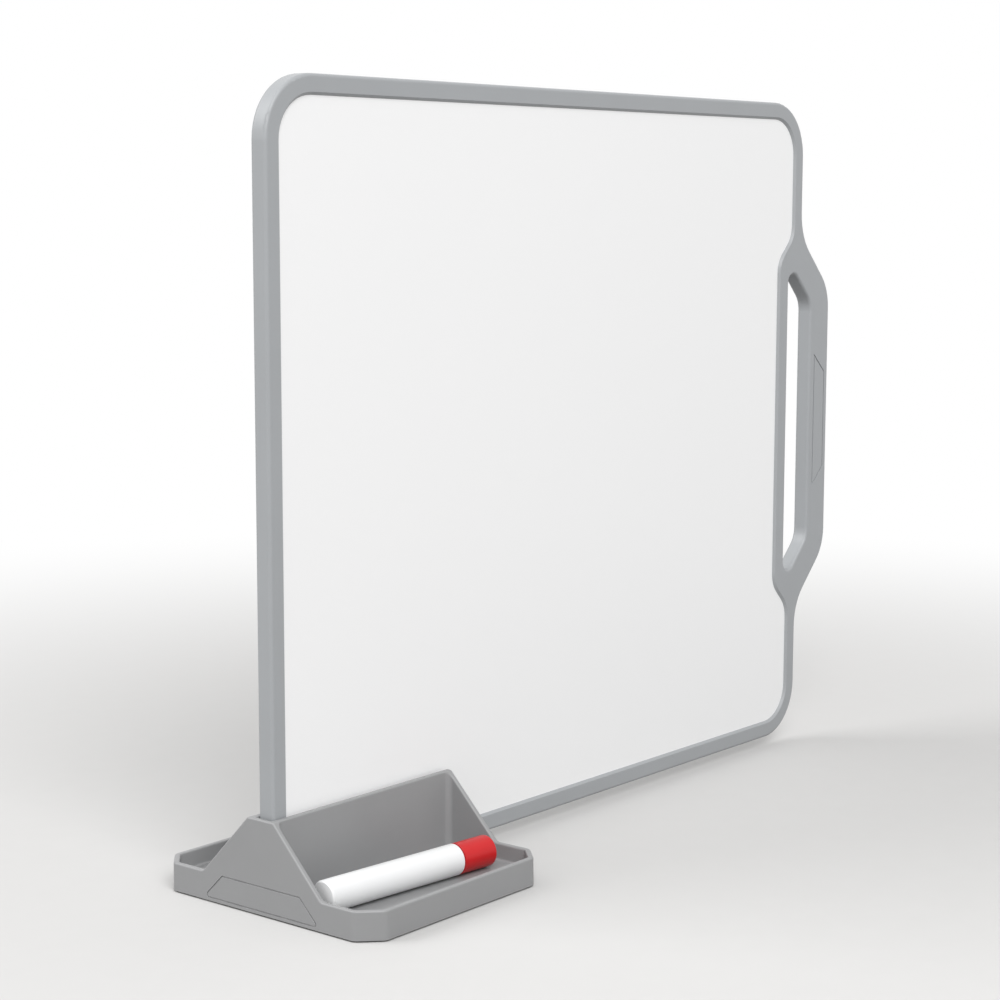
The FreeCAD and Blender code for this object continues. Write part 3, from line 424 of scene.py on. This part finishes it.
def set_out(name, piece, places, turns):
    """Lay out copies of a piece that was modelled on the upright axis, and join them to one."""
    made = []
    for (x, y), turn in zip(places, turns):
        bpy.ops.object.select_all(action="DESELECT")
        piece.select_set(True)
        bpy.context.view_layer.objects.active = piece
        bpy.ops.object.duplicate(linked=False)
        copy = bpy.context.object
        copy.location = (x, y, 0.0)
        copy.rotation_euler = (0.0, 0.0, math.radians(turn))
        bpy.ops.object.transform_apply(location=True, rotation=True, scale=True)
        made.append(copy)
    bpy.data.objects.remove(piece)
    bpy.ops.object.select_all(action="DESELECT")
    for copy in made:
        copy.select_set(True)
    bpy.context.view_layer.objects.active = made[0]
    bpy.ops.object.join()
    made[0].name = name
    return made[0]


def make_cover_screws():
    """A cone for the head, pulled up into shank and tip, with the two arms of the recess cut in."""
    screw = add_piece("screw", bpy.ops.mesh.primitive_cone_add, vertices=48, radius1=head_radius,
                      radius2=shank_radius, depth=head_height,
                      location=(0.0, 0.0, cover_face + head_height / 2))
    pick(screw, faces_up)
    push_up(screw_length - head_height - tip_length)
    push_up(tip_length)
    narrow(tip_share, cover_face + screw_length)
    pick(screw, faces_down)
    bpy.ops.mesh.bevel(offset=head_round, segments=2, affect="EDGES")
    for reach_x, reach_y in ((recess_reach, recess_width), (recess_width, recess_reach)):
        cutter = add_piece("cross_arm", bpy.ops.mesh.primitive_cube_add, size=1.0,
                           location=(0.0, 0.0, cover_face), scale=(reach_x, reach_y, 2 * recess_depth))
        pick(cutter, faces_up)
        narrow(recess_floor_share, cover_face + recess_depth)
        cut_away(screw, cutter)
    shade(30.0)
    return set_out("cover_screw_set", screw, screw_places, screw_turns)


cover_screw_set = make_cover_screws()
cover_screw_set.data.materials.append(make_zinc_plate())
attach(cover_screw_set, "base")
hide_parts("cover_screws")


# Feet. Four soft rubber pads glued into shallow seats keep the set from sliding. Each has a softened
# rim, a ring groove that grips, and a dimple where it was moulded.
foot_dark = (0.022, 0.022, 0.023)
foot_light = (0.05, 0.05, 0.05)
foot_reach_x = 0.05
foot_reach_y = 0.0582
foot_places = [(base_middle + reach_x, reach_y) for reach_x in (-foot_reach_x, foot_reach_x)
               for reach_y in (-foot_reach_y, foot_reach_y)]
foot_radius = 0.006
foot_thickness = 0.0017
foot_round = 0.0003
outer_ring = 0.0011
inner_ring = 0.0019
groove_width = 0.0007
groove_depth = 0.0004
groove_side = 0.00015
dimple_depth = 0.0003
foot_steps = [(outer_ring, 0.0), (groove_side, -groove_depth), (groove_width, 0.0),
              (groove_side, groove_depth), (inner_ring, 0.0), (dimple_depth, -dimple_depth)]


def make_foot_rubber():
    finish, tree, shader, place = new_finish("foot_rubber", Specular_IOR_Level=0.3)
    grain = use_group(tree, moulded_grain, {"Vector": place, "Pit Scale": 1500.0, "Cloud Scale": 180.0})
    colour = tint(tree, grain["Cloud"], foot_dark, foot_light)
    roughness = spread(tree, grain["Cloud"], low=0.78, high=0.93)
    lay_on(tree, shader, colour, roughness, grain["Height"], strength=0.5, depth=0.00007)
    return finish


def make_feet():
    """A round pad whose lower face is stepped inwards into the groove and the dimple."""
    foot = add_piece("foot", bpy.ops.mesh.primitive_cylinder_add, vertices=64, radius=foot_radius,
                     depth=foot_thickness, location=(0.0, 0.0, foot_thickness / 2))
    pick(foot, faces_down)
    bpy.ops.mesh.bevel(offset=foot_round, segments=3, affect="EDGES")
    pick(foot, faces_down)
    for width, depth in foot_steps:
        bpy.ops.mesh.inset(thickness=width, depth=depth)
    shade(35.0)
    return set_out("foot_pads", foot, foot_places, [0.0] * len(foot_places))


foot_pads = make_feet()
foot_pads.data.materials.append(make_foot_rubber())
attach(foot_pads, "base")
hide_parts("foot_front_left", "foot_front_right", "foot_rear_left", "foot_rear_right")


# Board frame. The front moulding holds the handle loop and a thin rear plate is pressed into its
# back. Both are the base's plastic in a lighter grey, with a shallower grain and hardly rubbed edges,
# whose faint lightening is partly a painted highlight.
frame_grey_dark = (0.337, 0.349, 0.361)
frame_grey_light = (0.369, 0.383, 0.397)
frame_finish = moulded_plastic("frame_moulding", frame_grey_dark, frame_grey_light,
                               roughness=(0.36, 0.45), pit_depth=0.000025, dust=0.12, wear_and_highlight=0.06)
dress(frame_finish, "front_frame", "rear_frame")


# Writing panel. Two sheets of steel with fired white enamel cover a pressed fibre core. The enamel is
# smooth and even, with the faintest haze of wiped ink and a skin that is barely wavy.
enamel_low = (0.912, 0.914, 0.917)
enamel_high = (0.915, 0.917, 0.920)
enamel_hazed = (0.896, 0.900, 0.908)
fibre_dark = (0.26, 0.17, 0.1)
fibre_light = (0.5, 0.37, 0.24)


def make_white_enamel():
    finish, tree, shader, place = new_finish("white_enamel", Coat_Weight=0.25, Coat_Roughness=0.12)
    strokes = stretched(tree, place, (9.0, 9.0, 70.0), turn=(0.0, 0.5, 0.0))
    wipes = noise(tree, strokes, scale=1.0, detail=2.0)
    clouds = noise(tree, place, scale=5.0, detail=3.0)
    haze = spread(tree, clouds, high=0.1, start=0.5, end=0.75)
    peel = noise(tree, place, scale=260.0, detail=1.0)
    colour = over(tree, haze, tint(tree, wipes, enamel_low, enamel_high), enamel_hazed)
    roughness = spread(tree, wipes, low=0.27, high=0.29)
    lay_on(tree, shader, colour, roughness, peel, strength=0.06, depth=0.00002)
    return finish


def make_fibre_core():
    finish, tree, shader, place = new_finish("fibre_core")
    fibres = stretched(tree, place, (260.0, 900.0, 260.0))
    strands = noise(tree, fibres, scale=2.0, detail=6.0)
    colour = tint(tree, strands, fibre_dark, fibre_light)
    roughness = spread(tree, strands, low=0.75, high=0.95)
    lay_on(tree, shader, colour, roughness, strands, strength=0.6, depth=0.0002)
    return finish


dress(make_white_enamel(), "front_writing_sheet", "rear_writing_sheet")
dress(make_fibre_core(), "panel_core")


# Marker. A white moulded barrel with a bevelled white plug and a push-on red cap lies loose in the
# front tray. Inside are the collar, the felt nib, the fibre ink store and the soft seal of the cap.
cap_end = (-0.14149, -0.04635, 0.01545)
cap_turn = math.radians(-5.3)
ring_radius = 0.0056
ring_depth = 0.0005
ring_width = 0.0009
ring_side = 0.0001
ring_sunk = 0.0004
ring_round = 0.00008
satin_edge_reach = 0.0004
satin_wear_and_highlight = 0.3
satin_fading_and_highlight = 0.35


def satin_plastic(name, low, high, roughness, coat=0.15, gloss=0.5):
    """Smooth moulded plastic with faint flow clouds, edges lightened as rubbed wear and painted
    highlight, and a barely uneven skin.
    """
    finish, tree, shader, place = new_finish(name, Coat_Weight=coat, Coat_Roughness=0.15,
                                             Specular_IOR_Level=gloss)
    flow = noise(tree, place, scale=70.0, detail=3.0)
    skin = noise(tree, place, scale=1500.0, detail=2.0)
    edge = use_group(tree, rubbed_and_lit_edges, {"Vector": place, "Reach": satin_edge_reach})["Mask"]
    # Edges are lifted towards a paler tone: partly rubbed wear, partly a painted highlight on the rims.
    worn_and_lit = combine(tree, "MULTIPLY", edge, satin_wear_and_highlight)
    faded_and_lit = [tone + (1.0 - tone) * satin_fading_and_highlight for tone in high]
    colour = over(tree, worn_and_lit, tint(tree, flow, low, high), faded_and_lit)
    lay_on(tree, shader, colour, spread(tree, flow, *roughness), skin, strength=0.25, depth=0.000015)
    return finish


def make_felt(name, low, high):
    """Pressed fibres, darker where the ink has soaked in."""
    finish, tree, shader, place = new_finish(name, Sheen_Weight=0.3)
    fibres = noise(tree, place, scale=2400.0, detail=4.0)
    colour = tint(tree, noise(tree, place, scale=300.0, detail=2.0), low, high)
    roughness = spread(tree, fibres, low=0.7, high=0.95)
    lay_on(tree, shader, colour, roughness, fibres, strength=0.8, depth=0.0001)
    return finish


def make_cap_ring():
    """The low ring moulded on the cap's end: a disc whose middle is sunk."""
    ring = add_piece("cap_end_ring", bpy.ops.mesh.primitive_cylinder_add, vertices=96, radius=ring_radius,
                     depth=ring_depth, location=cap_end, rotation=(0.0, math.radians(90.0), cap_turn))
    along = Vector((math.cos(cap_turn), math.sin(cap_turn), 0.0))
    pick(ring, lambda place, normal: normal.dot(along) > nearly_one)
    bpy.ops.mesh.inset(thickness=ring_width)
    bpy.ops.mesh.inset(thickness=ring_side, depth=-ring_sunk)
    soften(ring, ring_round)
    return ring


barrel_finish = satin_plastic("barrel_white", low=(0.80, 0.805, 0.81), high=(0.83, 0.835, 0.84),
                              roughness=(0.34, 0.42), coat=0.0, gloss=0.35)
plug_finish = satin_plastic("plug_white", low=(0.74, 0.745, 0.75), high=(0.78, 0.785, 0.79),
                            roughness=(0.4, 0.48), coat=0.0, gloss=0.35)
holder_finish = satin_plastic("holder_white", low=(0.74, 0.74, 0.74), high=(0.8, 0.8, 0.8),
                              roughness=(0.3, 0.4))
cap_finish = satin_plastic("cap_red", low=(0.53, 0.014, 0.017), high=(0.59, 0.020, 0.022),
                           roughness=(0.3, 0.38), coat=0.0, gloss=0.3)
seal_finish = satin_plastic("seal_plastic", low=(0.66, 0.66, 0.64), high=(0.72, 0.72, 0.7),
                            roughness=(0.4, 0.5))
nib_finish = make_felt("nib_felt", low=(0.2, 0.006, 0.008), high=(0.42, 0.016, 0.018))
reservoir_finish = make_felt("reservoir_fibre", low=(0.4, 0.02, 0.02), high=(0.6, 0.06, 0.06))
dress(barrel_finish, "marker_barrel")
dress(plug_finish, "marker_end_plug")
dress(holder_finish, "nib_holder")
dress(cap_finish, "marker_cap")
dress(seal_finish, "cap_seal")
dress(nib_finish, "marker_nib")
dress(reservoir_finish, "ink_reservoir")
cap_end_ring = make_cap_ring()
cap_end_ring.data.materials.append(cap_finish)
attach(cap_end_ring, "cap")


# Floor. A plain pale sheet that keeps the object's shadow and fades to white with distance, so that no
# horizon shows. The camera and mirrored rays see the white, and the object gets none of its light.
floor_width = 24.0
bounced_low = (0.31, 0.305, 0.30)
bounced_high = (0.33, 0.325, 0.32)
shown_low = (0.625, 0.62, 0.613)
shown_high = (0.64, 0.635, 0.628)
fade_start = 0.3
fade_end = 1.15
white = (1.0, 1.0, 1.0, 1.0)


def background_seen(tree):
    """1 for rays that show the background: from the camera, mirrored or let through; else 0."""
    rays = node(tree, "LightPath").outputs
    straight = combine(tree, "MAXIMUM", rays["Is Camera Ray"], rays["Is Transmission Ray"])
    return combine(tree, "MAXIMUM", straight, rays["Is Glossy Ray"])


def make_floor_paper():
    finish, tree, shader, place = new_finish("floor_paper", Specular_IOR_Level=0.1)
    seen = background_seen(tree)
    fibres = noise(tree, place, scale=60.0, detail=5.0)
    tones = {"Factor": seen, mix_under: tint(tree, fibres, bounced_low, bounced_high),
             mix_top: tint(tree, fibres, shown_low, shown_high)}
    colour = node(tree, "Mix", tones, data_type="RGBA").outputs[mix_result]
    feed(tree, shader, {"Base Color": colour, "Roughness": spread(tree, fibres, low=0.85, high=0.95)})
    away = node(tree, "VectorMath", {0: place}, operation="LENGTH").outputs["Value"]
    fade = node(tree, "MapRange", {"Value": away, "From Min": fade_start, "From Max": fade_end},
                interpolation_type="SMOOTHSTEP").outputs["Result"]
    glow = node(tree, "Emission", {"Color": white, "Strength": 1.0}).outputs["Emission"]
    blend = node(tree, "MixShader", {0: combine(tree, "MULTIPLY", fade, seen), 1: shader.outputs["BSDF"],
                                     2: glow})
    tree.links.new(blend.outputs["Shader"], tree.nodes["Material Output"].inputs["Surface"])
    return finish


floor = add_piece("floor", bpy.ops.mesh.primitive_plane_add, size=floor_width)
floor.data.materials.append(make_floor_paper())


# Light. A white room reads as white behind the object and in its gloss, and lights it evenly. Two wide
# soft lamps high on the left, one in front and one behind, give the faces their differing tones.
room_light = 0.55
lamp_width = 2.9
board_middle = Vector((0.0, 0.0, 0.2))


def light_room():
    world = bpy.data.worlds.new("room")
    bpy.context.scene.world = world
    world.use_nodes = True
    room = world.node_tree
    room.nodes.clear()
    strength = spread(room, background_seen(room), low=room_light)
    glow = node(room, "Background", {"Color": white, "Strength": strength})
    room.links.new(glow.outputs["Background"], node(room, "OutputWorld").inputs["Surface"])


def add_lamp(name, place, power):
    """A square lamp turned towards the middle of the board."""
    lamp = bpy.data.lights.new(name, "AREA")
    lamp.size = lamp_width
    lamp.energy = power
    holder = bpy.data.objects.new(name, lamp)
    holder.location = place
    holder.rotation_euler = (board_middle - Vector(place)).to_track_quat("-Z", "Y").to_euler()
    bpy.context.collection.objects.link(holder)


light_room()
add_lamp("key_lamp", (-2.16, -2.88, 3.26), power=179.0)
add_lamp("fill_lamp", (-2.88, 2.7, 3.26), power=108.0)


# Camera. It has the photograph's place and angle of view, worked out from the straight edges of the
# board and the base.
camera_place = (-1.0141, -0.7682, 0.3526)
camera_turns = (82.3329, -0.1066, -50.7356)
camera_data = bpy.data.cameras.new("camera")
camera_data.sensor_width = 36.0
camera_data.lens = 80.376
camera_data.clip_start = 0.05
camera_data.clip_end = 60.0
camera = bpy.data.objects.new("camera", camera_data)
camera.location = camera_place
camera.rotation_euler = [math.radians(turn) for turn in camera_turns]
bpy.context.collection.objects.link(camera)
bpy.context.scene.camera = camera
bpy.context.scene.view_settings.view_transform = "Standard"
